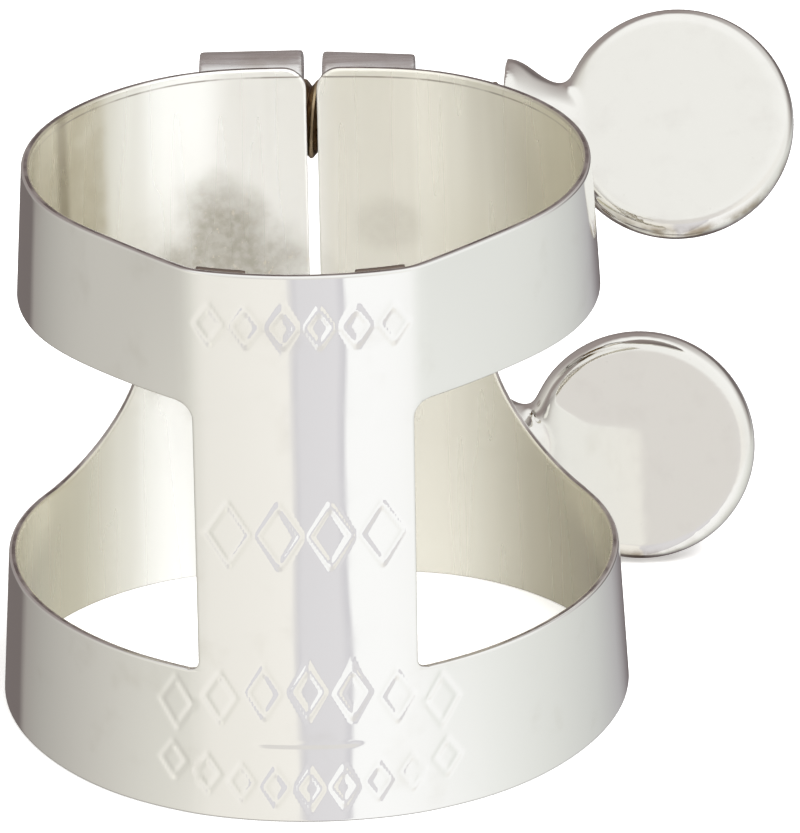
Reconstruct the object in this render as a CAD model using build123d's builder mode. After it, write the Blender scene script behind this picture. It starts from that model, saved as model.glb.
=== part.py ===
"""Clarinet ligature with two thumb screws, for a mouthpiece worn with the reed on the plain side.

A tapered sleeve of nickel silver sheet is split down the back. Two rails inside the front
bar bear on the reed. Four posts behind the split carry two thumb screws, which draw the
split together and grip the reed on the mouthpiece.

+Z is the sleeve's axis, with the wide rim at Z = 0. -Y is the reed side. The screw heads
stand out on the +X side. Millimetres throughout.
"""

import os
from math import asin, cos, degrees, radians, sin

from build123d import *

os.makedirs("parts", exist_ok=True)

# Sleeve
sleeve_height = 26.5
sheet = 0.4  # thickness of the nickel silver sheet
split_width = 0.6
split_corner = 1.1  # rounding of the four corners beside the split
front_radius_top = 14.75  # the front bar's curve across its width
front_radius_bottom = 15.2
crease_x_top = 5.0  # the soft fold at each side of the front bar
crease_x_bottom = 5.35
back_y_top = 11.65  # outer face at the split
back_y_bottom = 12.75

# Windows, one each side, between an upper and a lower band
window_low = 7.15
window_high = 20.1
bar_half_width = 4.98
window_corner_low = 0.45
window_corner_high = 0.75
window_back_angle = 24.0  # where the round back end of a window is centred, from the X axis
window_back_distance = 13.47  # from the sleeve's axis to the sheet there
window_back_aim = 40.0  # direction in which the round end is cut, square to the sheet
window_depth = 8.0  # how far inside the sheet the cutter starts

# Reed rails, soldered inside the front bar
rail_thickness = 0.35
rail_inner_x = 2.4
rail_outer_x = 4.65

# Posts, soldered behind the split
post_radius = 3.2
threaded_post = (-5.55, -0.4)  # reach along X
plain_post = (0.25, 5.0)
threaded_post_lean = -2.0  # degrees that each post is turned in plan, to sit on the sleeve
plain_post_lean = 7.0
post_foot_width = 3.4
thread_bore_radius = 1.95
plain_bore_radius = 2.1

# Thumb screws
axis_lean = 4.0  # degrees that both screws point forwards, in plan
upper_axis = (0.0, 14.9, 22.6)
lower_axis = (0.0, 15.85, 5.5)
shank_radius = 1.9
spigot_radius = 1.2  # the shank's end, brazed in the head
spigot_length = 1.6
spigot_clearance = 0.05
collar_gap = 0.05  # between the shank's shoulder and the collar's face
tip_chamfer = 0.4
disc_radius = 5.6
disc_thickness = 2.1
disc_rounding = 0.75
collar_radius = 3.04
collar_shoulder = 1.0  # where the collar's rounded flank starts to fall away
collar_shoulder_radius = 2.72
waist_from_collar = 2.45
waist_radius = 1.86
neck_start = 0.5
neck_end = 4.2  # where the neck has sunk into the disc
neck_end_radius = 0.6
collar_to_disc = 8.15  # from the collar's face to the disc's centre
neck_rounding = 0.6
shank_tip = -5.2  # the upper screw's tip, along its axis
upper_collar = 9.2  # the upper collar's face, along its axis
lower_collar = 7.45
upper_turn = 35.0  # degrees that each disc's face looks above level
lower_turn = 13.0

# Outer sections of the sleeve at its two rims: (height, front radius, crease x, direction of
# the flank at the crease in degrees, points along the right half, outer y at the split)
bottom_rim = (
    0.0,
    front_radius_bottom,
    crease_x_bottom,
    24,
    [(8.3, -12.6), (11.4, -9.55), (14.65, -1.4), (14.1, 4.3), (11.0, 9.35), (6.2, 12.25)],
    back_y_bottom,
)
top_rim = (
    sleeve_height,
    front_radius_top,
    crease_x_top,
    43,
    [(8.5, -10.25), (11.3, -6.8), (13.0, -1.5), (12.25, 4.3), (9.5, 8.55), (5.6, 11.1)],
    back_y_top,
)


def right_side(points, start, end, fold, inset):
    """Returns the points of a section's right side, moved inwards by inset.

    fold is the angle between the front bar and the side, which the first point mitres.
    """
    curve = Spline(points, tangents=[start, end], mode=Mode.PRIVATE)
    moved = []
    for point in points:
        inwards = (curve % curve.param_at_point(point)).rotate(Axis.Z, 90)
        moved.append(Vector(*point) + inwards * inset)
    mitre = Vector(*start).rotate(Axis.Z, 90 - fold / 2) * (inset / cos(radians(fold / 2)))
    moved[0] = Vector(*points[0]) + mitre
    return moved


def tapered_solid(inset):
    """Returns the space inside the sleeve's outer surface, drawn in by inset."""
    with BuildPart() as body:
        for height, front_radius, crease_x, flank, half, back_y in (bottom_rim, top_rim):
            crease_angle = degrees(asin(crease_x / front_radius))
            crease_y = -front_radius * cos(radians(crease_angle))
            outer_points = [(crease_x, crease_y)] + half + [(0, back_y)]
            start, end = (cos(radians(flank)), sin(radians(flank))), (-1, 0)
            right = right_side(outer_points, start, end, flank - crease_angle, inset)
            left = [(-point.X, point.Y) for point in right]
            with BuildSketch(Plane.XY.offset(height)):
                with BuildLine():
                    ThreePointArc(left[0], (0, inset - front_radius), right[0])
                    Spline(right, tangents=[start, end])
                    Spline(left, tangents=[(-start[0], start[1]), (1, 0)])
                make_face()
        loft(ruled=True)
    return body.part


outer_solid = tapered_solid(0)
inner_solid = tapered_solid(sheet)
rail_back_solid = tapered_solid(sheet + rail_thickness)

# The left window's cutter. Its round back end is aimed square to the sheet, and the space in
# front of that is cut straight up and down.
window_height = window_high - window_low
window_middle = (window_low + window_high) / 2
back_end_radius = window_height / 2
reach = 2 * front_radius_bottom
aim = Vector(-cos(radians(window_back_aim)), sin(radians(window_back_aim)), 0)
back_centre = Vector(
    -window_back_distance * cos(radians(window_back_angle)),
    window_back_distance * sin(radians(window_back_angle)),
    window_middle,
)
inner_end = back_centre - aim * window_depth
outer_end = back_centre + aim * reach

with BuildPart() as window:
    with BuildSketch(Plane(inner_end, x_dir=(0, 0, 1), z_dir=aim)):
        Circle(back_end_radius)
    extrude(amount=reach)
    with BuildSketch(Plane.XY.offset(window_low)):
        with BuildLine():
            Polyline(
                (-bar_half_width, -reach),
                (-bar_half_width, inner_end.Y - window_depth),
                (inner_end.X, inner_end.Y),
                (outer_end.X, outer_end.Y),
                (-2 * reach, -reach),
                close=True,
            )
        make_face()
    extrude(amount=window_height)
    bar_side = window.edges().filter_by(Axis.Y).group_by(Axis.X)[-1]
    fillet(bar_side.sort_by(Axis.Z)[0], window_corner_low)
    bar_side = window.edges().filter_by(Axis.Y).group_by(Axis.X)[-1]
    fillet(bar_side.sort_by(Axis.Z)[-1], window_corner_high)

with BuildPart() as sleeve:
    add(outer_solid)
    add(inner_solid, mode=Mode.SUBTRACT)
    add(window.part, mode=Mode.SUBTRACT)
    add(mirror(window.part, about=Plane.YZ, mode=Mode.PRIVATE), mode=Mode.SUBTRACT)
    with BuildSketch(Plane.XY):
        with Locations((0, reach / 2)):
            Rectangle(split_width, reach)
    extrude(amount=sleeve_height, mode=Mode.SUBTRACT)
    beside_split = sleeve.edges().filter_by(Axis.Y).filter_by_position(
        Axis.X, -split_width, split_width
    )
    fillet(beside_split, split_corner)
sleeve.part.label = "sleeve"
export_step(sleeve.part, "parts/sleeve.step")

# Reed rails, bent to the inside of the front bar
for side, name in ((-1, "reed_rail_left"), (1, "reed_rail_right")):
    with BuildPart() as rail:
        add(inner_solid)
        add(rail_back_solid, mode=Mode.SUBTRACT)
        with BuildSketch(Plane.XY):
            with Locations((side * (rail_inner_x + rail_outer_x) / 2, -front_radius_bottom)):
                Rectangle(rail_outer_x - rail_inner_x, front_radius_bottom)
        extrude(amount=sleeve_height, mode=Mode.INTERSECT)
    rail.part.label = name
    export_step(rail.part, f"parts/{name}.step")

screw_direction = Vector(cos(radians(axis_lean)), -sin(radians(axis_lean)), 0)


def along(start, direction, distance):
    """Returns the point at a distance along a line."""
    return Vector(*start) + direction * distance


# Posts: tubes soldered behind the split. The left pair is threaded, the right pair is plain.
posts = []
for level, axis in (("upper", upper_axis), ("lower", lower_axis)):
    posts.append((f"threaded_post_{level}", axis, threaded_post, threaded_post_lean, True))
    posts.append((f"plain_post_{level}", axis, plain_post, plain_post_lean, False))

for name, axis, (start, end), lean, threaded in posts:
    middle = along(axis, screw_direction, (start + end) / 2)
    tube_direction = Vector(cos(radians(lean)), -sin(radians(lean)), 0)
    tube = Plane(middle, x_dir=(0, 0, 1), z_dir=tube_direction)
    bore = Plane(middle, x_dir=(0, 0, 1), z_dir=screw_direction)
    with BuildPart() as post:
        with BuildSketch(tube):
            Circle(post_radius)
            with Locations((0, post_radius / 2)):
                Rectangle(post_foot_width, post_radius)
        extrude(amount=(end - start) / 2, both=True)
        with BuildSketch(bore):
            Circle(thread_bore_radius if threaded else plain_bore_radius)
        extrude(amount=end - start, both=True, mode=Mode.SUBTRACT)
        add(outer_solid, mode=Mode.SUBTRACT)
    post.part.label = name
    export_step(post.part, f"parts/{name}.step")

# Thumb screws: a threaded shank brazed in a cast head, whose collar stops against the plain
# post and whose flat disc is turned by the fingers. Both screws are the same size.
shank_length = upper_collar - shank_tip - collar_gap
half_thick = disc_thickness / 2
rim_start = disc_radius - disc_rounding
for level, axis, collar, turn in (
    ("upper", upper_axis, upper_collar, upper_turn),
    ("lower", lower_axis, lower_collar, lower_turn),
):
    collar_face = along(axis, screw_direction, collar)
    forwards = Vector(-sin(radians(axis_lean)), -cos(radians(axis_lean)), 0)
    disc_normal = forwards * cos(radians(turn)) + Vector(0, 0, 1) * sin(radians(turn))

    with BuildPart() as shank:
        with BuildSketch(Plane(collar_face - screw_direction * collar_gap, z_dir=-screw_direction)):
            Circle(shank_radius)
        extrude(amount=shank_length)
        tip = shank.faces().sort_by(Axis(collar_face, -screw_direction))[-1]
        chamfer(tip.edges(), tip_chamfer)
        with BuildSketch(Plane(collar_face - screw_direction * collar_gap, z_dir=screw_direction)):
            Circle(spigot_radius)
        extrude(amount=spigot_length)
    shank.part.label = f"screw_shank_{level}"
    export_step(shank.part, f"parts/screw_shank_{level}.step")

    paddle = Plane(collar_face, x_dir=screw_direction, z_dir=disc_normal)
    edgewise = Plane(collar_face, x_dir=screw_direction, z_dir=paddle.y_dir)
    disc_centre = collar_face + screw_direction * collar_to_disc
    with BuildPart() as head:
        with BuildSketch(paddle):
            with Locations(((neck_start + collar_to_disc) / 2, 0)):
                Rectangle(collar_to_disc - neck_start, 2 * waist_radius)
        extrude(amount=disc_thickness / 2, both=True)
        fillet(head.edges().filter_by(Axis(collar_face, screw_direction)), neck_rounding)
        with BuildSketch(edgewise):
            with BuildLine():
                Polyline(
                    (collar_to_disc + rim_start, half_thick),
                    (collar_to_disc, half_thick),
                    (collar_to_disc, -half_thick),
                    (collar_to_disc + rim_start, -half_thick),
                )
                half_flat = half_thick - disc_rounding
                RadiusArc(
                    (collar_to_disc + rim_start, half_thick),
                    (collar_to_disc + disc_radius, half_flat),
                    disc_rounding,
                )
                Line(
                    (collar_to_disc + disc_radius, half_flat),
                    (collar_to_disc + disc_radius, -half_flat),
                )
                RadiusArc(
                    (collar_to_disc + disc_radius, -half_flat),
                    (collar_to_disc + rim_start, -half_thick),
                    disc_rounding,
                )
            make_face()
        revolve(axis=Axis(disc_centre, disc_normal))
        with BuildSketch(edgewise):
            with BuildLine():
                Spline(
                    (0, collar_radius),
                    (collar_shoulder, collar_shoulder_radius),
                    (waist_from_collar, waist_radius),
                    (neck_end, neck_end_radius),
                )
                Polyline((neck_end, neck_end_radius), (neck_end, 0), (0, 0), (0, collar_radius))
            make_face()
        revolve(axis=Axis(collar_face, screw_direction))
        with BuildSketch(Plane(collar_face, z_dir=screw_direction)):
            Circle(spigot_radius + spigot_clearance)
        extrude(amount=spigot_length + collar_gap, mode=Mode.SUBTRACT)
    head.part.label = f"screw_head_{level}"
    export_step(head.part, f"parts/screw_head_{level}.step")
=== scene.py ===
"""Looks of a clarinet ligature: bright nickel plate over nickel silver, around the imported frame."""

import math

import bmesh
import bpy
import numpy as np
from mathutils import Matrix, Vector
from mathutils.kdtree import KDTree


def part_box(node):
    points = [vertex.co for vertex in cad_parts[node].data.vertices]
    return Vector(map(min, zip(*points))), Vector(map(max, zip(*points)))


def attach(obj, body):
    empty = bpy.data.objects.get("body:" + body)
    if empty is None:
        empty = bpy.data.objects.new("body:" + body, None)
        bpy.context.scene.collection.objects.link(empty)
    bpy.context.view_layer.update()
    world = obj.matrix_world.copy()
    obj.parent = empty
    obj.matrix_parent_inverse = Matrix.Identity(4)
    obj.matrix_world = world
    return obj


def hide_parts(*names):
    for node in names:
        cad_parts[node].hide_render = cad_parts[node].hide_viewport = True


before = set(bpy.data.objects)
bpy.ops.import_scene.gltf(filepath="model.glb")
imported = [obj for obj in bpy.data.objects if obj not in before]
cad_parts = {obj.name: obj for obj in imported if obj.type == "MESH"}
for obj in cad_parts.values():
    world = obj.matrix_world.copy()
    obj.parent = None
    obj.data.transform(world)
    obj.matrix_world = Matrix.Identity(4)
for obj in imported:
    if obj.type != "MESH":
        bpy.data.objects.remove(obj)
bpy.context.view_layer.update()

MM = 0.001

# ---------------------------------------------------------------------------------------
# Camera. A long lens looks down on the reed side, with the screw heads on the right.
# ---------------------------------------------------------------------------------------
look_down = math.radians(23.2)
look_from = math.radians(0.8)
camera_roll = math.radians(-0.9)
camera_distance = 350 * MM
aim_height = 13.5 * MM
aim_right = 4.11 * MM

backwards = Vector(
    (
        math.sin(look_from) * math.cos(look_down),
        -math.cos(look_from) * math.cos(look_down),
        math.sin(look_down),
    )
)
level_right = Vector((math.cos(look_from), math.sin(look_from), 0))
level_up = backwards.cross(level_right)
camera_right = level_right * math.cos(camera_roll) + level_up * math.sin(camera_roll)
camera_up = level_up * math.cos(camera_roll) - level_right * math.sin(camera_roll)
camera_place = Vector((0, 0, aim_height)) + backwards * camera_distance + camera_right * aim_right

camera_data = bpy.data.cameras.new("camera")
camera_data.lens = 325.5
camera_data.sensor_width = 36
camera_data.clip_start = 0.01
camera_data.clip_end = 20
camera = bpy.data.objects.new("camera", camera_data)
bpy.context.scene.collection.objects.link(camera)
turned = Matrix((camera_right, camera_up, backwards)).transposed().to_4x4()
camera.matrix_world = Matrix.Translation(camera_place) @ turned
bpy.context.scene.camera = camera
bpy.context.scene.view_settings.view_transform = "Standard"


def linear(hex_colour):
    """Turns an sRGB hex colour to the linear RGBA that a shader socket takes."""
    channels = [int(hex_colour[i : i + 2], 16) / 255 for i in (1, 3, 5)]
    lit = [c / 12.92 if c <= 0.04045 else ((c + 0.055) / 1.055) ** 2.4 for c in channels]
    return (*lit, 1.0)


def add(tree, kind, inputs=None, **settings):
    """Adds a node to a shader or geometry tree. A socket given as an input is linked to it."""
    made = tree.nodes.new(kind)
    for name, value in settings.items():
        setattr(made, name, value)
    for socket, value in (inputs or {}).items():
        if isinstance(value, bpy.types.NodeSocket):
            tree.links.new(value, made.inputs[socket])
        else:
            made.inputs[socket].default_value = value
    return made


def ramp(node, stops):
    """Gives a colour ramp its stops, each a place and a hex colour."""
    elements = node.color_ramp.elements
    while len(elements) < len(stops):
        elements.new(0.5)
    for element, (place, colour) in zip(elements, stops):
        element.position = place
        element.color = linear(colour)


# ---------------------------------------------------------------------------------------
# Studio. A white cloth tent: bright overhead and in front on the right, greyer on the left,
# with a dim slot behind the object and the lens's opening in front.
# ---------------------------------------------------------------------------------------
tent = bpy.data.worlds.new("white_tent")
bpy.context.scene.world = tent
tent.use_nodes = True
tree = tent.node_tree
tree.nodes.clear()
direction = add(tree, "ShaderNodeTexCoord").outputs["Generated"]
split = add(tree, "ShaderNodeSeparateXYZ", {0: direction})
around = add(
    tree, "ShaderNodeMath", {0: split.outputs["X"], 1: split.outputs["Y"]}, operation="ARCTAN2"
)
# Zero is behind, towards +Y; a quarter is the right; a half is the front; three quarters the left.
turn = add(
    tree, "ShaderNodeMath", {0: around.outputs[0], 1: 1 / (2 * math.pi)}, operation="MULTIPLY"
)
turn = add(tree, "ShaderNodeMath", {0: turn.outputs[0], 1: 1.0}, operation="FLOORED_MODULO")
low_walls = add(tree, "ShaderNodeValToRGB", {0: turn.outputs[0]})
ramp(
    low_walls,
    [
        (0.0, "#5f5654"),
        (0.05, "#8c8688"),
        (0.085, "#b4b2b3"),
        (0.14, "#cccdca"),
        (0.22, "#dfe0dc"),
        (0.30, "#eeefec"),
        (0.36, "#fafaf9"),
        (0.43, "#ffffff"),
        (0.461, "#ffffff"),
        (0.465, "#d0ced3"),
        (0.472, "#e2e0e3"),
        (0.508, "#dfdde0"),
        (0.514, "#d2d0d4"),
        (0.518, "#f6f3ed"),
        (0.60, "#eeebe4"),
        (0.66, "#dcdad2"),
        (0.76, "#c6c3bc"),
        (0.84, "#aeaba5"),
        (0.878, "#a09b96"),
        (0.895, "#756d6b"),
    ],
)
eye_level = add(tree, "ShaderNodeValToRGB", {0: turn.outputs[0]})
ramp(
    eye_level,
    [
        (0.0, "#8a807e"),
        (0.07, "#6b6362"),
        (0.14, "#7f7877"),
        (0.20, "#c9c6c3"),
        (0.25, "#f2f2f0"),
        (0.42, "#f4f2ee"),
        (0.46, "#e2dfdd"),
        (0.56, "#dedbd7"),
        (0.62, "#f6f3ea"),
        (0.75, "#cfccc6"),
        (0.88, "#a19b98"),
        (1.0, "#8a807e"),
    ],
)
high_walls = add(tree, "ShaderNodeValToRGB", {0: turn.outputs[0]})
ramp(
    high_walls,
    [
        (0.0, "#988e8c"),
        (0.16, "#d8d6d4"),
        (0.25, "#fbfbfa"),
        (0.5, "#f5f5f3"),
        (0.72, "#dddbd6"),
        (0.86, "#9d9492"),
        (1.0, "#988e8c"),
    ],
)


def blended(start, end, lower, upper):
    """Passes from one ring of the tent to the next between two heights of view."""
    share = add(
        tree,
        "ShaderNodeMapRange",
        {"Value": split.outputs["Z"], "From Min": start, "From Max": end},
        interpolation_type="SMOOTHSTEP",
    ).outputs[0]
    return add(tree, "ShaderNodeMix", {0: share, 6: lower, 7: upper}, data_type="RGBA").outputs[2]


walls = blended(-0.28, -0.08, low_walls.outputs[0], eye_level.outputs[0])
walls = blended(0.15, 0.45, walls, high_walls.outputs[0])
# The roof is bright and even.
roof = add(tree, "ShaderNodeRGB").outputs[0]
roof.default_value = linear("#fbfbfa")
walls = blended(0.75, 0.95, walls, roof)
sky = add(tree, "ShaderNodeBackground", {"Color": walls, "Strength": 1.0})
add(tree, "ShaderNodeOutputWorld", {"Surface": sky.outputs[0]})

floor_mesh = bpy.data.meshes.new("floor")
floor_half = 1.0
floor_mesh.from_pydata(
    [(x * floor_half, y * floor_half, 0) for x, y in ((-1, -1), (1, -1), (1, 1), (-1, 1))],
    [],
    [(0, 1, 2, 3)],
)
floor = bpy.data.objects.new("floor", floor_mesh)
bpy.context.scene.collection.objects.link(floor)
floor.location.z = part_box("sleeve")[0].z - 0.02 * MM
floor.visible_glossy = False
card = bpy.data.materials.new("white_card")
card.use_nodes = True
card.node_tree.nodes["Principled BSDF"].inputs["Base Color"].default_value = linear("#fcfcfc")
card.node_tree.nodes["Principled BSDF"].inputs["Roughness"].default_value = 0.9
card.node_tree.nodes["Principled BSDF"].inputs["Specular IOR Level"].default_value = 0.0
card.node_tree.nodes["Principled BSDF"].inputs["Emission Color"].default_value = linear("#ffffff")
card.node_tree.nodes["Principled BSDF"].inputs["Emission Strength"].default_value = 0.35
floor_mesh.materials.append(card)

softbox_data = bpy.data.lights.new("softbox", "AREA")
softbox_data.shape = "DISK"
softbox_data.size = 0.5
softbox_data.energy = 5.0
softbox = bpy.data.objects.new("softbox", softbox_data)
bpy.context.scene.collection.objects.link(softbox)
softbox.location = (0.25, -0.2, 0.6)
softbox.rotation_euler = Vector(softbox.location).to_track_quat("Z", "Y").to_euler()
softbox.visible_glossy = False

# ---------------------------------------------------------------------------------------
# Sleeve. One strip of nickel silver sheet, stamped with two windows and a border pattern,
# bent to a taper round a mandrel and nickel plated. Polished outside, left satin inside,
# where soldering the posts and rails has stained it. Its cut edges are tumbled round.
# ---------------------------------------------------------------------------------------
sleeve_low, sleeve_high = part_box("sleeve")
rim_height = (sleeve_high.z - sleeve_low.z) / MM
sheet = 0.4
edge_round = 0.12
window_low, window_high = 7.15, 20.1
window_middle = (window_low + window_high) / 2
window_end_radius = (window_high - window_low) / 2
window_corner_low, window_corner_high = 0.45, 0.75
bar_half_width = 4.98
window_back_angle = math.radians(24)
window_back_distance = 13.47
window_back_aim = math.radians(40)
split_half = 0.25
split_corner = 1.1
# Each rim's outer edge on the right: the front bar's radius, the fold's x, the direction of
# the side there in degrees, the points that it passes, and where it meets the split.
narrow_rim = (
    14.75,
    5.0,
    43,
    [(8.5, -10.25), (11.3, -6.8), (13.0, -1.5), (12.25, 4.3), (9.5, 8.55), (5.6, 11.1)],
    11.65,
)
wide_rim = (
    15.2,
    5.35,
    24,
    [(8.3, -12.6), (11.4, -9.55), (14.65, -1.4), (14.1, 4.3), (11.0, 9.35), (6.2, 12.25)],
    12.75,
)
rim_samples = 2400  # from the middle of the front to the split
front_samples = 900  # these first ones reach well past the bar's edge
back_start = 1500  # and from this one on lie behind the window
fold_blur = 24  # samples over which the fold is softened
rim_scale_length = 42.0  # half a rim's length, roughly, which shares out the samples


def smooth_curve(points, start, end, count):
    """Samples the cubic that runs smoothly through points, with given directions at its ends."""
    points = np.array(points, float)
    steps = np.linalg.norm(np.diff(points, axis=0), axis=1)
    knots = np.concatenate(([0], np.cumsum(steps)))
    slopes = np.diff(points, axis=0) / steps[:, None]
    last = len(points) - 1
    matrix, right = np.eye(last + 1), np.zeros_like(points)
    right[0], right[last] = start, end
    for i in range(1, last):
        before, after = steps[i - 1], steps[i]
        matrix[i, i - 1 : i + 2] = after, 2 * (before + after), before
        right[i] = 3 * (after * slopes[i - 1] + before * slopes[i])
    speeds = np.linalg.solve(matrix, right)
    at = np.linspace(0, knots[-1], count)
    piece = np.clip(np.searchsorted(knots, at, side="right") - 1, 0, last - 1)
    length = steps[piece][:, None]
    u = ((at - knots[piece]) / steps[piece])[:, None]
    return (
        points[piece] * (2 * u**3 - 3 * u**2 + 1)
        + points[piece + 1] * (3 * u**2 - 2 * u**3)
        + speeds[piece] * length * (u**3 - 2 * u**2 + u)
        + speeds[piece + 1] * length * (u**3 - u**2)
    )


def rim_curve(front_radius, fold_x, side_direction, points, back_y):
    """Samples half a rim from the middle of the front to the split, with the fold softened."""
    fold_angle = math.asin(fold_x / front_radius)
    share = fold_x / rim_scale_length
    bar_count = int(rim_samples * share)
    angles = np.linspace(0, fold_angle, bar_count, endpoint=False)
    bar = np.column_stack((front_radius * np.sin(angles), -front_radius * np.cos(angles)))
    fold = (fold_x, -front_radius * math.cos(fold_angle))
    direction = math.radians(side_direction)
    side = smooth_curve(
        [fold, *points, (0, back_y)],
        (math.cos(direction), math.sin(direction)),
        (-1, 0),
        rim_samples - bar_count,
    )
    half = np.vstack((bar, side))
    mirrored = half * (-1, 1)
    spread = 3 * fold_blur
    padded = np.vstack((mirrored[1 : spread + 1][::-1], half, mirrored[-spread - 1 : -1][::-1]))
    weights = np.exp(-0.5 * (np.arange(-spread, spread + 1) / fold_blur) ** 2)
    weights /= weights.sum()
    return np.column_stack([np.convolve(padded[:, k], weights, "valid") for k in (0, 1)])


narrow, wide = rim_curve(*narrow_rim), rim_curve(*wide_rim)
rim_place = np.linspace(0, 1, rim_samples)


def wall_line(height):
    """Returns the outer wall's x and y along one height."""
    share = height / rim_height
    return narrow * share + wide * (1 - share)


edge_steps = np.array([0, 0.015, 0.04, 0.07, 0.11, 0.17])
arc_steps = window_middle - window_end_radius * np.cos(np.linspace(0, math.pi, 45))
arc_steps[0], arc_steps[-1] = window_low, window_high
heights = np.concatenate(
    (
        edge_steps,
        np.arange(0.27, window_low - 0.2, 0.11),
        window_low - edge_steps,
        arc_steps,
        np.arange(12.3, 15.9, 0.11),
        window_high + edge_steps,
        np.arange(window_high + 0.45, 22.8, 0.4),
        np.arange(22.9, 25.3, 0.11),
        np.arange(25.35, rim_height - 0.25, 0.12),
        rim_height - edge_steps,
    )
)
heights = np.unique(np.round(heights, 4))
heights = heights[np.concatenate(([True], np.diff(heights) > 0.012))]
heights[np.argmin(abs(heights - window_low))] = window_low
heights[np.argmin(abs(heights - window_high))] = window_high
heights[-1] = rim_height

bar_columns = np.concatenate((np.linspace(0, 1, 47)[:-4], 1 - edge_steps[::-1] / bar_half_width))
side_fine = np.arange(0, 2.4, 0.11)
side_coarse = 2.4 + (np.linspace(0, 1, 33) ** 1.15) * 17.6
side_columns = np.concatenate((side_fine, side_coarse)) / 20.0
back_end = np.concatenate((edge_steps, np.linspace(0.3, 8.6, 20), 8.9 - edge_steps[::-1])) / 8.9
column_count = len(bar_columns) + len(side_columns) + len(back_end) - 2
bar_edge_column = len(bar_columns) - 1
window_back_column = bar_edge_column + len(side_columns) - 1

across = np.array((-math.sin(window_back_aim), math.cos(window_back_aim)))
end_centre = window_back_distance * np.array(
    (math.cos(window_back_angle), math.sin(window_back_angle))
)
end_place = float(end_centre @ across)


def corner_cut(distance, radius):
    """How far a rounded corner has drawn back at a distance from its straight edge."""
    if distance >= radius:
        return 0.0
    return radius - math.sqrt(radius**2 - (radius - distance) ** 2)


column_places = np.zeros((len(heights), column_count))
for row, height in enumerate(heights):
    line = wall_line(height)
    inside = min(max(height, window_low), window_high)
    drawn_back = max(
        corner_cut(inside - window_low, window_corner_low),
        corner_cut(window_high - inside, window_corner_high),
    )
    round_end = math.sqrt(max(window_end_radius**2 - (inside - window_middle) ** 2, 0))
    from_rim = min(height, rim_height - height)
    bar_edge = float(np.interp(bar_half_width + drawn_back, line[:front_samples, 0], rim_place[:front_samples]))
    window_end = float(np.interp(end_place + round_end, line @ across, rim_place))
    split_edge = float(
        np.interp(
            -(split_half + corner_cut(from_rim, split_corner)),
            -line[back_start:, 0],
            rim_place[back_start:],
        )
    )
    column_places[row] = np.concatenate(
        (
            bar_columns * bar_edge,
            bar_edge + side_columns[1:] * (window_end - bar_edge),
            window_end + back_end[1:] * (split_edge - window_end),
        )
    )

outer = np.zeros((len(heights), column_count, 3))
normal = np.zeros_like(outer)
rise = narrow - wide
for row, height in enumerate(heights):
    line = wall_line(height)
    along = np.gradient(line, axis=0)
    facing = np.column_stack(
        (along[:, 1] * rim_height, -along[:, 0] * rim_height,
         -(along[:, 1] * rise[:, 0] - along[:, 0] * rise[:, 1]))
    )
    facing /= np.linalg.norm(facing, axis=1)[:, None]
    for k in (0, 1):
        outer[row, :, k] = np.interp(column_places[row], rim_place, line[:, k])
    outer[row, :, 2] = height
    for k in (0, 1, 2):
        normal[row, :, k] = np.interp(column_places[row], rim_place, facing[:, k])
normal /= np.linalg.norm(normal, axis=2)[:, :, None]

cell = np.ones((len(heights) - 1, column_count - 1), bool)
in_window = (heights[:-1] >= window_low) & (heights[1:] <= window_high)
cell[in_window, bar_edge_column:window_back_column] = False

# The whole sheet runs from the split, forwards on the left and back on the right.
outer = np.concatenate((outer[:, :0:-1] * (-1, 1, 1), outer), axis=1)
normal = np.concatenate((normal[:, :0:-1] * (-1, 1, 1), normal), axis=1)
cell = np.concatenate((cell[:, ::-1], cell), axis=1)
rows, columns = outer.shape[:2]

# Distance from each point to the sheet's cut edge, for rounding that edge.
padded = np.pad(cell, 1)
touched = np.zeros((rows, columns), int)
for down in (0, 1):
    for over in (0, 1):
        touched += padded[down : down + rows, over : over + columns]
on_edge = (touched > 0) & (touched < 4)
edge_lines = []
for row in range(rows):
    for column in range(columns):
        if not on_edge[row, column]:
            continue
        for other in ((row + 1, column), (row, column + 1)):
            if other[0] < rows and other[1] < columns and on_edge[other]:
                start, finish = outer[row, column], outer[other]
                pieces = max(int(np.linalg.norm(finish - start) / 0.02), 1)
                for share in np.linspace(0, 1, pieces + 1):
                    edge_lines.append(start + (finish - start) * share)
finder = KDTree(len(edge_lines))
for i, point in enumerate(edge_lines):
    finder.insert(point, i)
finder.balance()
from_edge = np.full((rows, columns), 1.0)
for row, column in zip(*np.nonzero(touched)):
    from_edge[row, column] = finder.find(outer[row, column])[2]
from_edge[on_edge] = 0
short = np.clip(edge_round - from_edge, 0, edge_round)
dip = edge_round - np.sqrt(edge_round**2 - short**2)

# Stamped border pattern: rows of lozenges and a rule, pressed into the front.
groove_half_width, groove_depth = 0.19, 0.055
lozenges = [(x, 24.05, 0.62, 0.9) for x in np.linspace(-4.1, 4.1, 6)]
lozenges += [(x, 14.05, 0.95, 1.5) for x in (-3.45, -1.15, 1.15, 3.45)]
lozenges += [(x, 6.45 - 0.028 * x**2, 0.72, 1.2) for x in np.linspace(-6.0, 6.0, 7)]
lozenges += [(x, 1.66 + 0.0235 * x**2, 0.56, 0.86) for x in np.linspace(-6.2, 6.2, 9)]
x, y, z = outer[:, :, 0], outer[:, :, 1], outer[:, :, 2]
to_groove = np.full((rows, columns), 9.0)
for middle_x, middle_z, half_wide, half_tall in lozenges:
    slant = np.hypot(1 / half_wide, 1 / half_tall)
    reach = abs(x - middle_x) / half_wide + abs(z - middle_z) / half_tall
    to_groove = np.minimum(to_groove, abs(reach - 1) / slant)
rule = 1.1 * abs(z - 3.85) + 0.15 * np.maximum(abs(x) - 1.9, 0)
to_groove = np.minimum(to_groove, rule)
to_groove[y > 0] = 9
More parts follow.
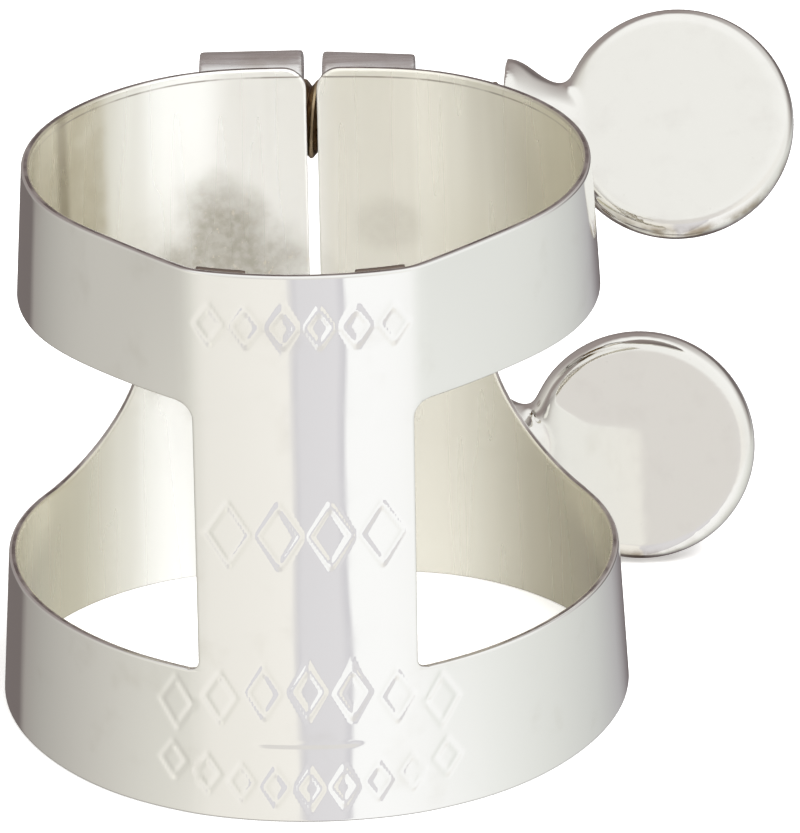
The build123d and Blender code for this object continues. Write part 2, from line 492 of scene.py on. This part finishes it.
stamp = groove_depth * np.clip(1 - (to_groove / groove_half_width) ** 2, 0, 1) ** 2

top_side = outer - normal * (dip + stamp)[:, :, None]
under_side = outer - normal * (sheet - dip)[:, :, None]
used = touched > 0
number = np.full((rows, columns), -1)
number[used] = np.arange(used.sum())
count = int(used.sum())
points = np.vstack((top_side[used], under_side[used])) * MM
faces, inside_face = [], []
for row in range(rows - 1):
    for column in range(columns - 1):
        if not cell[row, column]:
            continue
        a, b = number[row, column], number[row, column + 1]
        c, d = number[row + 1, column + 1], number[row + 1, column]
        faces.append((a, b, c, d))
        inside_face.append(0)
        faces.append((a + count, d + count, c + count, b + count))
        inside_face.append(1)
        sides = (
            ((row - 1, column), a, b),
            ((row, column + 1), b, c),
            ((row + 1, column), c, d),
            ((row, column - 1), d, a),
        )
        for (near_row, near_column), start, finish in sides:
            if not padded[near_row + 1, near_column + 1]:
                faces.append((start, start + count, finish + count, finish))
                inside_face.append(2)
sleeve_mesh = bpy.data.meshes.new("sleeve_sheet")
sleeve_mesh.from_pydata(points.tolist(), [], faces)
sleeve_mesh.polygons.foreach_set("material_index", inside_face)
sleeve_mesh.polygons.foreach_set("use_smooth", [True] * len(faces))
sleeve_sheet = bpy.data.objects.new("sleeve_sheet", sleeve_mesh)
bpy.context.scene.collection.objects.link(sleeve_sheet)

def metal(name, colour, roughness, metallic=1.0):
    """Makes a plain metal and returns its material, tree, shader and object coordinates."""
    made = bpy.data.materials.new(name)
    made.use_nodes = True
    tree = made.node_tree
    shader = tree.nodes["Principled BSDF"]
    shader.inputs["Metallic"].default_value = metallic
    shader.inputs["Base Color"].default_value = linear(colour)
    shader.inputs["Roughness"].default_value = roughness
    return made, tree, shader, add(tree, "ShaderNodeTexCoord").outputs["Object"]


def noise(tree, where, size_mm, detail=3.0, stretch=None):
    """Adds noise whose lumps are size_mm across, or longer along one axis by stretch."""
    if stretch:
        where = add(tree, "ShaderNodeMapping", {"Vector": where, "Scale": stretch}).outputs[0]
    return add(
        tree,
        "ShaderNodeTexNoise",
        {"Vector": where, "Scale": 1000 / size_mm, "Detail": detail},
    ).outputs["Fac"]


def between(tree, value, low, high, low_out=0.0, high_out=1.0):
    """Maps a value smoothly from one range to another."""
    return add(
        tree,
        "ShaderNodeMapRange",
        {"Value": value, "From Min": low, "From Max": high, "To Min": low_out, "To Max": high_out},
        interpolation_type="SMOOTHSTEP",
    ).outputs[0]


def tinted(tree, share, first, second):
    """Mixes two colours, each a hex colour or a socket, by a share."""
    given = {0: share}
    for socket, colour in ((6, first), (7, second)):
        given[socket] = linear(colour) if isinstance(colour, str) else colour
    return add(tree, "ShaderNodeMix", given, data_type="RGBA").outputs[2]


def bumped(tree, shader, height, depth_mm, strength=1.0):
    """Gives a shader a bump of a real depth."""
    bump = add(
        tree,
        "ShaderNodeBump",
        {"Height": height, "Distance": depth_mm * MM, "Strength": strength},
    )
    tree.links.new(bump.outputs[0], shader.inputs["Normal"])


def product(tree, first, second):
    """Multiplies two values."""
    return add(tree, "ShaderNodeMath", {0: first, 1: second}, operation="MULTIPLY").outputs[0]


# Bright plate over buffed sheet: faint long drifts in the reflection and fine buffing lines.
polished_nickel, tree, shader, where = metal("polished_nickel_plate", "#fafaf8", 0.07)
drift = noise(tree, where, 8.0, 0.5, (1.0, 1.0, 0.8))
fine = noise(tree, where, 0.35, 2.0, (1.0, 1.0, 0.06))
haze = noise(tree, where, 2.5, 4.0)
tree.links.new(between(tree, haze, 0.35, 0.75, 0.05, 0.11), shader.inputs["Roughness"])
tree.links.new(
    tinted(tree, between(tree, haze, 0.55, 0.85), "#fafaf8", "#f2f1ed"), shader.inputs["Base Color"]
)
together = add(tree, "ShaderNodeMath", {0: fine, 1: 0.004, 2: drift}, operation="MULTIPLY_ADD")
bumped(tree, shader, together.outputs[0], 0.16)

# Satin inside: mild drawing lines up the sheet, painted shade darker to the right and warm grey at
# the sides, the solder's heat stain and specks of flux low on the left of the split, a fainter stain
# on its right, a painted shade line under the narrow rim, and painted dark reflections at the far left.
satin_nickel, tree, shader, where = metal("satin_nickel_inside", "#eceae0", 0.36, 0.72)
spot = add(tree, "ShaderNodeSeparateXYZ", {0: where})
lines = noise(tree, where, 1.4, 1.0, (1.0, 1.0, 0.03))
cloud = noise(tree, where, 2.2, 6.0)
grain = noise(tree, where, 0.25, 2.0)


def stain(middle, reach):
    """Returns how strongly a cloudy stain round a place covers each point."""
    away = add(
        tree,
        "ShaderNodeVectorMath",
        {0: where, 1: tuple(c * MM for c in middle)},
        operation="SUBTRACT",
    ).outputs[0]
    scaled = add(
        tree,
        "ShaderNodeVectorMath",
        {0: away, 1: tuple(1 / (c * MM) for c in reach)},
        operation="MULTIPLY",
    ).outputs[0]
    length = add(tree, "ShaderNodeVectorMath", {0: scaled}, operation="LENGTH").outputs["Value"]
    ragged = add(
        tree, "ShaderNodeMath", {0: cloud, 1: -0.7, 2: length}, operation="MULTIPLY_ADD"
    ).outputs[0]
    return between(tree, ragged, 0.8, 0.1)


def distance_from(value, place):
    """Returns how far a coordinate is from a place, in metres."""
    off = add(tree, "ShaderNodeMath", {0: value, 1: place}, operation="SUBTRACT").outputs[0]
    return add(tree, "ShaderNodeMath", {0: off}, operation="ABSOLUTE").outputs[0]


low_stain = stain((-4.4, 10.4, 14.2), (5.6, 7.0, 5.4))
mound = stain((-4.3, 10.4, 17.4), (2.6, 7.0, 4.2))
left_stain = add(tree, "ShaderNodeMath", {0: low_stain, 1: mound}, operation="MAXIMUM").outputs[0]
right_stain = stain((3.4, 11.2, 18.4), (2.0, 4.0, 1.6))
sideways = distance_from(spot.outputs["X"], 0.0)
painted_side_shade = between(tree, sideways, 6.5 * MM, 12.5 * MM)
# Painted shade: the inside darkens from left to right.
painted_right_shade = between(tree, spot.outputs["X"], -0.5 * MM, 1.5 * MM, 0.0, 1.0)
colour = tinted(tree, painted_right_shade, "#f7f7f4", "#ebe9df")
# Painted shade: the inner side walls darken to a warm grey away from the middle.
colour = tinted(tree, painted_side_shade, colour, "#c9c4b1")
# Painted reflections: a patchy dark band high on the far left, and two thin dark marks beyond it.
upper_band = between(tree, spot.outputs["Z"], 15.0 * MM, 17.0 * MM)
painted_left_reflection = product(tree, between(tree, spot.outputs["X"], -9.4 * MM, -9.9 * MM), upper_band)
patchy = between(tree, cloud, 0.3, 0.7, 0.25, 0.7)
colour = tinted(tree, product(tree, painted_left_reflection, patchy), colour, "#b3ab94")
for mark_x, mark_half in ((-11.5, 0.35), (-13.0, 0.3)):
    painted_dark_reflection = between(
        tree, distance_from(spot.outputs["X"], mark_x * MM), mark_half * MM, 0.05 * MM, 0.0, 0.6
    )
    colour = tinted(tree, product(tree, painted_dark_reflection, upper_band), colour, "#857c68")
mottle = between(tree, noise(tree, where, 0.4, 7.0), 0.3, 0.7, 0.72, 1.0)
colour = tinted(tree, product(tree, product(tree, left_stain, mottle), 0.78), colour, "#989281")
colour = tinted(tree, product(tree, product(tree, right_stain, mottle), 0.25), colour, "#a8a294")
flecks = between(tree, grain, 0.66, 0.72)
colour = tinted(tree, product(tree, product(tree, flecks, left_stain), 0.6), colour, "#e6dccb")
# Painted shade: a thin ragged dark line runs round just under the narrow rim.
off_line = distance_from(spot.outputs["Z"], (rim_height - 0.4) * MM)
painted_shade_line = product(
    tree, between(tree, off_line, 0.06 * MM, 0.02 * MM), between(tree, cloud, 0.35, 0.6, 0.25, 0.8)
)
colour = tinted(tree, painted_shade_line, colour, "#8b8278")
colour = tinted(tree, between(tree, lines, 0.5, 0.8, 0.0, 0.12), colour, "#b9b3a2")
tree.links.new(colour, shader.inputs["Base Color"])
tree.links.new(between(tree, lines, 0.3, 0.7, 0.25, 0.3), shader.inputs["Roughness"])
tree.links.new(
    between(tree, sideways, 5.0 * MM, 11.0 * MM, 0.5, 0.74), shader.inputs["Metallic"]
)
bumped(tree, shader, cloud, 0.01, 0.5)

# The sheet's cut edge: plated thinly over a rough cut, so it is greyer and duller.
edge_nickel, tree, shader, where = metal("tumbled_cut_edge", "#a49890", 0.3)
wear = noise(tree, where, 1.6, 4.0)
tree.links.new(
    tinted(tree, between(tree, wear, 0.35, 0.7), "#a09795", "#d8d2cf"), shader.inputs["Base Color"]
)
tree.links.new(between(tree, wear, 0.3, 0.7, 0.22, 0.4), shader.inputs["Roughness"])
bumped(tree, shader, wear, 0.02)

for material in (polished_nickel, satin_nickel, edge_nickel):
    sleeve_mesh.materials.append(material)
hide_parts("sleeve")
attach(sleeve_sheet, "sleeve")


# ---------------------------------------------------------------------------------------
# Posts. Four short tubes of drawn nickel silver, cut square and silver soldered behind the
# split, with a bead of solder along each foot. The left ones are tapped.
# ---------------------------------------------------------------------------------------
post_cell = 0.11
bead_radius = 0.42
bead_height = 1.72


def new_piece(name, body_mesh):
    """Puts a bmesh in the scene as an object and returns it."""
    bmesh.ops.recalc_face_normals(body_mesh, faces=body_mesh.faces)
    mesh = bpy.data.meshes.new(name)
    body_mesh.to_mesh(mesh)
    body_mesh.free()
    made = bpy.data.objects.new(name, mesh)
    bpy.context.scene.collection.objects.link(made)
    return made


def copied(node_name):
    """Returns the welded shape of a node, in row coordinates."""
    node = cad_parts[node_name]
    shape = bmesh.new()
    shape.from_mesh(node.data)
    shape.transform(node.matrix_world)
    bmesh.ops.remove_doubles(shape, verts=shape.verts, dist=0.002 * MM)
    return shape


def eased(piece, cell_size, passes, weight=None):
    """Joins what overlaps in a piece, then smooths its edges. weight limits where, by point."""
    remesh = piece.modifiers.new("join", "REMESH")
    remesh.mode = "VOXEL"
    remesh.voxel_size = cell_size * MM
    graph = bpy.context.evaluated_depsgraph_get()
    mesh = bpy.data.meshes.new_from_object(piece.evaluated_get(graph))
    piece.modifiers.clear()
    count = len(mesh.vertices)
    points = np.empty(count * 3)
    mesh.vertices.foreach_get("co", points)
    points = points.reshape(-1, 3)
    pairs = np.empty(len(mesh.edges) * 2, int)
    mesh.edges.foreach_get("vertices", pairs)
    first, second = pairs.reshape(-1, 2).T
    valence = np.bincount(pairs, minlength=count)[:, None]
    share = np.ones((count, 1)) if weight is None else weight(points / MM)[:, None]
    for step in range(passes):
        total = np.zeros_like(points)
        np.add.at(total, first, points[second])
        np.add.at(total, second, points[first])
        points = points + share * 0.5 * (total / valence - points)
    mesh.vertices.foreach_set("co", points.ravel())
    mesh.polygons.foreach_set("use_smooth", [True] * len(mesh.polygons))
    mesh.update()
    mesh.name = piece.name
    piece.data = mesh
    return piece


# Drawn tube: a bright metal with lengthwise drawing lines and a little haze.
drawn_tube, tree, shader, where = metal("drawn_nickel_tube", "#aca9a7", 0.28)
lines = noise(tree, where, 0.3, 3.0, (0.06, 1.0, 1.0))
cloud = noise(tree, where, 1.5, 5.0)
colour = tinted(tree, between(tree, cloud, 0.4, 0.75), "#fafafa", "#e6e2de")
tree.links.new(colour, shader.inputs["Base Color"])
tree.links.new(between(tree, lines, 0.3, 0.7, 0.22, 0.36), shader.inputs["Roughness"])
bumped(tree, shader, lines, 0.01)

for node_name in (
    "threaded_post_upper",
    "plain_post_upper",
    "threaded_post_lower",
    "plain_post_lower",
):
    shape = copied(node_name)
    low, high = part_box(node_name)
    side = -1 if low.x + high.x < 0 else 1
    # The end at the split is faced back to just behind the sheet's edge.
    outer_end = 4.9 if side > 0 else 5.4
    for place, keep in ((0.45, 1), (outer_end, -1)):
        cut = bmesh.ops.bisect_plane(
            shape,
            geom=shape.verts[:] + shape.edges[:] + shape.faces[:],
            plane_co=(side * place * MM, 0, 0),
            plane_no=(side * keep, 0, 0),
            clear_inner=True,
        )
        rim_edges = [e for e in cut["geom_cut"] if isinstance(e, bmesh.types.BMEdge)]
        bmesh.ops.triangle_fill(shape, edges=rim_edges, use_beauty=True)
    bmesh.ops.triangulate(shape, faces=shape.faces)
    # The solder: a row of overlapping balls where each edge of the foot meets the sheet.
    middle_z = (low.z + high.z) / 2 / MM
    for bead_z in (middle_z - bead_height, middle_z + bead_height):
        line = wall_line(bead_z)
        for bead_x in np.arange(0.85, outer_end - 0.4, 0.07):
            wall_y = float(np.interp(-bead_x, -line[back_start:, 0], line[back_start:, 1]))
            place = Vector((side * bead_x, wall_y + 0.12, bead_z)) * MM
            swell = bead_radius * (1 + 0.06 * math.sin(2.5 * bead_x + bead_z))
            bmesh.ops.create_icosphere(
                shape, subdivisions=2, radius=swell * MM, matrix=Matrix.Translation(place)
            )
    post = new_piece(node_name + "_tube", shape)
    eased(post, post_cell, 4)
    post.data.materials.append(drawn_tube)
    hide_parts(node_name)
    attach(post, "sleeve")

# ---------------------------------------------------------------------------------------
# Reed rails. Two flat strips soldered up the inside of the front bar; the reed bears on
# them. Their tops sit at the narrow rim, where a thin line of painted brown shade runs along them.
# ---------------------------------------------------------------------------------------
rail_strip, tree, shader, where = metal("soldered_rail_strip", "#d9d5cb", 0.3, 0.7)
cloud = noise(tree, where, 0.8, 5.0)
lines = noise(tree, where, 0.3, 2.0, (1.0, 1.0, 0.05))
height = add(tree, "ShaderNodeSeparateXYZ", {0: where}).outputs["Z"]
colour = tinted(tree, between(tree, cloud, 0.3, 0.8), "#e0ddd4", "#d3cdc1")
# Painted shade: the top edge darkens to brown.
painted_top_shade = between(tree, height, (rim_height - 0.15) * MM, (rim_height - 0.04) * MM)
tree.links.new(tinted(tree, painted_top_shade, colour, "#6f6259"), shader.inputs["Base Color"])
tree.links.new(between(tree, lines, 0.3, 0.7, 0.28, 0.42), shader.inputs["Roughness"])
bumped(tree, shader, cloud, 0.012)
for node_name in ("reed_rail_left", "reed_rail_right"):
    rail = eased(new_piece(node_name + "_strip", copied(node_name)), 0.09, 2)
    rail.data.materials.append(rail_strip)
    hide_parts(node_name)
    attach(rail, "sleeve")

# ---------------------------------------------------------------------------------------
# Screw shanks. Rolled M4-size brass thread, thinly plated and worn to brass on its crests,
# dark with old grease in its roots. One node group makes both.
# ---------------------------------------------------------------------------------------
axis_lean = math.radians(4)
screw_direction = Vector((math.cos(axis_lean), -math.sin(axis_lean), 0))
screw_axes = {"upper": Vector((0, 14.9, 22.6)), "lower": Vector((0, 15.85, 5.5))}
collar_faces = {"upper": 9.2, "lower": 7.45}
disc_turns = {"upper": math.radians(35), "lower": math.radians(13)}
shank_length = 14.35
thread_radius = 1.9
thread_depth = 0.35
thread_pitch = 0.7
tip_chamfer = 0.4


def output(node):
    """The first output of a node."""
    return node.outputs[0]


thread_group = bpy.data.node_groups.new("rolled_thread", "GeometryNodeTree")
face = thread_group.interface
face.new_socket("Geometry", in_out="OUTPUT", socket_type="NodeSocketGeometry")
for label, size in (
    ("Radius", thread_radius),
    ("Depth", thread_depth),
    ("Pitch", thread_pitch),
    ("Length", shank_length),
):
    asked = face.new_socket(label, in_out="INPUT", socket_type="NodeSocketFloat")
    asked.default_value = size * MM
face.new_socket("Material", in_out="INPUT", socket_type="NodeSocketMaterial")
given = thread_group.nodes.new("NodeGroupInput").outputs
around_steps, along_steps = 97, 420
sheet_grid = add(
    thread_group,
    "GeometryNodeMeshGrid",
    {"Size X": 1.0, "Size Y": 1.0, "Vertices X": along_steps, "Vertices Y": around_steps},
)


def figured(operation, *values):
    """Adds one arithmetic node to the thread's group and returns its result."""
    given_values = dict(enumerate(values))
    return output(add(thread_group, "ShaderNodeMath", given_values, operation=operation))


flat_place = output(thread_group.nodes.new("GeometryNodeInputPosition"))
flat = add(thread_group, "ShaderNodeSeparateXYZ", {0: flat_place})
share = figured("ADD", flat.outputs["X"], 0.5)
from_tip = figured("MULTIPLY", share, given["Length"])
angle = figured("MULTIPLY", flat.outputs["Y"], 2 * math.pi)
turns = figured("DIVIDE", from_tip, given["Pitch"])
phase = figured("FRACT", figured("ADD", turns, flat.outputs["Y"]))
tooth = figured("ABSOLUTE", figured("SUBTRACT", figured("MULTIPLY", phase, 2.0), 1.0))
tooth = figured("SMOOTH_MIN", figured("MULTIPLY", tooth, 1.25), 1.0, 0.3)
rounded = figured("MULTIPLY", figured("SUBTRACT", 1.0, tooth), given["Depth"])
radius = figured("SUBTRACT", given["Radius"], rounded)
to_end = figured("SUBTRACT", given["Length"], from_tip)
from_end = figured("MINIMUM", from_tip, to_end)
# The tip is chamfered, then both ends close flat at the last ring.
chamfered = figured("ADD", from_tip, figured("SUBTRACT", given["Radius"], tip_chamfer * MM))
radius = figured("MINIMUM", radius, chamfered)
closed = figured("GREATER_THAN", from_end, 1e-6)
radius = figured("MULTIPLY", radius, closed)
placed = add(
    thread_group,
    "ShaderNodeCombineXYZ",
    {
        0: from_tip,
        1: figured("MULTIPLY", radius, figured("COSINE", angle)),
        2: figured("MULTIPLY", radius, figured("SINE", angle)),
    },
)
shaped = add(
    thread_group,
    "GeometryNodeSetPosition",
    {"Geometry": output(sheet_grid), "Position": output(placed)},
)
welded = add(
    thread_group, "GeometryNodeMergeByDistance", {"Geometry": output(shaped), "Distance": 1e-7}
)
smoothed = add(thread_group, "GeometryNodeSetShadeSmooth", {"Geometry": output(welded)})
real = add(thread_group, "GeometryNodeRealizeInstances", {"Geometry": output(smoothed)})
painted = add(
    thread_group,
    "GeometryNodeSetMaterial",
    {"Geometry": output(real), "Material": given["Material"]},
)
add(thread_group, "NodeGroupOutput", {0: output(painted)})

# Worn thread: brass shows on the crests, brown grease stays in the roots.
worn_thread, tree, shader, where = metal("worn_brass_thread", "#b59a74", 0.3)
cloud = noise(tree, where, 0.9, 5.0)
crest = between(tree, add(tree, "ShaderNodeNewGeometry").outputs["Pointiness"], 0.47, 0.56)
colour = tinted(tree, crest, "#6d5743", "#dcc7a2")
colour = tinted(tree, between(tree, cloud, 0.45, 0.8, 0.0, 0.5), colour, "#8a7459")
tree.links.new(colour, shader.inputs["Base Color"])
tree.links.new(between(tree, cloud, 0.3, 0.7, 0.24, 0.4), shader.inputs["Roughness"])
bumped(tree, shader, noise(tree, where, 0.25, 3.0), 0.008)

for level in ("upper", "lower"):
    start = screw_axes[level] + screw_direction * (collar_faces[level] - 0.05 - shank_length)
    blank = bpy.data.meshes.new("thread_blank")
    maker = bpy.data.objects.new("thread_maker", blank)
    bpy.context.scene.collection.objects.link(maker)
    made_by = maker.modifiers.new("thread", "NODES")
    made_by.node_group = thread_group
    wanted = {
        "Radius": thread_radius * MM,
        "Length": shank_length * MM,
        "Material": worn_thread,
    }
    for item in face.items_tree:
        if item.in_out == "INPUT" and item.name in wanted:
            made_by[item.identifier] = wanted[item.name]
    graph = bpy.context.evaluated_depsgraph_get()
    mesh = bpy.data.meshes.new_from_object(maker.evaluated_get(graph))
    mesh.name = f"screw_shank_{level}_thread"
    bpy.data.objects.remove(maker)
    shape = bmesh.new()
    shape.from_mesh(mesh)
    to_place = Matrix.Translation(start * MM) @ Matrix.Rotation(-axis_lean, 4, "Z")
    shape.transform(to_place)
    bmesh.ops.recalc_face_normals(shape, faces=shape.faces)
    shape.to_mesh(mesh)
    shape.free()
    shank = bpy.data.objects.new(mesh.name, mesh)
    bpy.context.scene.collection.objects.link(shank)
    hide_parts(f"screw_shank_{level}")
    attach(shank, f"{level}_shank")

# ---------------------------------------------------------------------------------------
# Screw heads. One casting each: a flared collar, a waisted neck that spreads into the rim
# of a flat disc, and a rolled rim. Polished and plated; painted brown shade lies in the creases and under the
# rim.
# ---------------------------------------------------------------------------------------
disc_radius, disc_half = 5.59, 1.04
rolled_edge = 0.82
collar_to_disc = 8.15
collar_profile = [
    (0.0, 3.04),
    (0.14, 3.0),
    (0.5, 2.95),
    (1.0, 2.72),
    (1.5, 2.35),
    (2.0, 2.02),
    (2.45, 1.86),
    (3.1, 1.55),
    (3.9, 0.95),
    (4.5, 0.4),
]


def lathed(shape, profile, to_world, steps):
    """Adds a closed turned body to a bmesh. The profile is (along, radius) in millimetres."""
    rings = []
    for height, radius in profile:
        ring = []
        for step in range(steps):
            angle = 2 * math.pi * step / steps
            local = Vector((height, radius * math.cos(angle), radius * math.sin(angle)))
            ring.append(shape.verts.new(to_world @ local))
        rings.append(ring)
    for lower, upper in zip(rings, rings[1:]):
        for step in range(steps):
            near, far = step, (step + 1) % steps
            shape.faces.new((lower[near], lower[far], upper[far], upper[near]))
    shape.faces.new(rings[0][::-1])
    shape.faces.new(rings[-1])


def disc_profile():
    """The disc's turned section, face to face, with its edge rolled over."""
    flat = disc_radius - rolled_edge
    half = [(disc_half, 0.02), (disc_half, flat)]
    for step in range(1, 15):
        angle = math.radians(90 * step / 15)
        drop = (disc_half - 0.12) * (1 - math.cos(angle))
        half.append((disc_half - drop, flat + rolled_edge * math.sin(angle)))
    return half + [(-height, radius) for height, radius in half[::-1]]


# Polished casting: bright, a little orange-peel ripple, brown painted shade streaked like grime on
# the down-facing rim, mostly the upper disc's, and brown painted shade in the creases.
cast_nickel, tree, shader, where = metal("polished_cast_nickel", "#f7f5f0", 0.06)
ripple = noise(tree, where, 2.8, 2.0)
haze = noise(tree, where, 1.6, 5.0)
pits = noise(tree, where, 0.22, 2.0)
spot = add(tree, "ShaderNodeSeparateXYZ", {0: where})
# Painted shade: patchy brown where ambient occlusion finds a crease.
crease = add(tree, "ShaderNodeAmbientOcclusion", {"Distance": 1.2 * MM}, samples=8)
crease_shade = between(tree, crease.outputs["AO"], 0.95, 0.55)
colour = tinted(tree, between(tree, haze, 0.5, 0.9), "#f8f7f3", "#f1efeb")
painted_crease_shade = product(tree, crease_shade, between(tree, haze, 0.35, 0.6))
colour = tinted(tree, product(tree, painted_crease_shade, 0.75), colour, "#7d6a55")
# Painted shade: brown, streaked like grime, on faces that turn down, most on the upper head.
outwards = add(tree, "ShaderNodeTexCoord").outputs["Normal"]
facing = add(tree, "ShaderNodeSeparateXYZ", {0: outwards})
underside = product(
    tree,
    between(tree, facing.outputs["Z"], 0.1, -0.45),
    between(tree, facing.outputs["Y"], 0.1, -0.15),
)
mostly_upper = between(tree, spot.outputs["Z"], 12.0 * MM, 14.0 * MM, 0.2, 0.8)
streaked = between(tree, noise(tree, where, 1.4, 6.0), 0.35, 0.65)
painted_underside_shade = product(tree, product(tree, underside, streaked), mostly_upper)
colour = tinted(tree, painted_underside_shade, colour, "#8a7452")
colour = tinted(tree, product(tree, between(tree, pits, 0.72, 0.78), 0.12), colour, "#b8b0a8")
tree.links.new(colour, shader.inputs["Base Color"])
tree.links.new(between(tree, haze, 0.35, 0.75, 0.05, 0.12), shader.inputs["Roughness"])
bumped(tree, shader, ripple, 0.02, 0.6)

for level in ("upper", "lower"):
    turn = disc_turns[level]
    forwards = Vector((-math.sin(axis_lean), -math.cos(axis_lean), 0))
    facing_out = forwards * math.cos(turn) + Vector((0, 0, 1)) * math.sin(turn)
    crosswise = facing_out.cross(screw_direction)
    collar_place = screw_axes[level] + screw_direction * collar_faces[level]
    turned_collar = Matrix((screw_direction, facing_out, crosswise)).transposed().to_4x4()
    head_frame = Matrix.Translation(collar_place * MM) @ turned_collar @ Matrix.Scale(MM, 4)
    disc_frame = head_frame @ Matrix.Translation((collar_to_disc, 0, 0)) @ Matrix(
        ((0, 0, 1, 0), (1, 0, 0, 0), (0, 1, 0, 0), (0, 0, 0, 1))
    )
    shape = bmesh.new()
    lathed(shape, collar_profile, head_frame, 96)
    lathed(shape, disc_profile(), disc_frame, 192)
    # The neck: a web between waist and disc, wider and thicker towards the disc.
    rings = []
    for step in range(12):
        share = step / 11
        place = 1.0 + share * 2.9
        half_wide = 1.75 + 0.55 * share**2
        half_thick = 1.6 - 0.85 * share
        ring = []
        for corner in range(32):
            angle = 2 * math.pi * corner / 32
            local = Vector(
                (place, half_thick * math.sin(angle), half_wide * math.cos(angle))
            )
            ring.append(shape.verts.new(head_frame @ local))
        rings.append(ring)
    for lower, upper in zip(rings, rings[1:]):
        for corner in range(32):
            near, far = corner, (corner + 1) % 32
            shape.faces.new((lower[near], lower[far], upper[far], upper[near]))
    shape.faces.new(rings[0][::-1])
    shape.faces.new(rings[-1])
    head_piece = new_piece(f"screw_head_{level}_casting", shape)
    to_local = np.array(head_frame.inverted())

    def near_neck(points):
        """Weights the smoothing: all of it at the neck, little on the disc and the collar's lip."""
        local = points * MM @ to_local[:3, :3].T + to_local[:3, 3]
        along_axis = local[:, 0]
        rising = np.clip((along_axis - 0.3) / 1.2, 0, 1)
        falling = np.clip((3.9 - along_axis) / 1.2, 0, 1)
        return np.clip(rising * falling, 0.1, 1)

    eased(head_piece, 0.085, 120, near_neck)
    head_piece.data.materials.append(cast_nickel)
    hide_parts(f"screw_head_{level}")
    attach(head_piece, f"{level}_head")
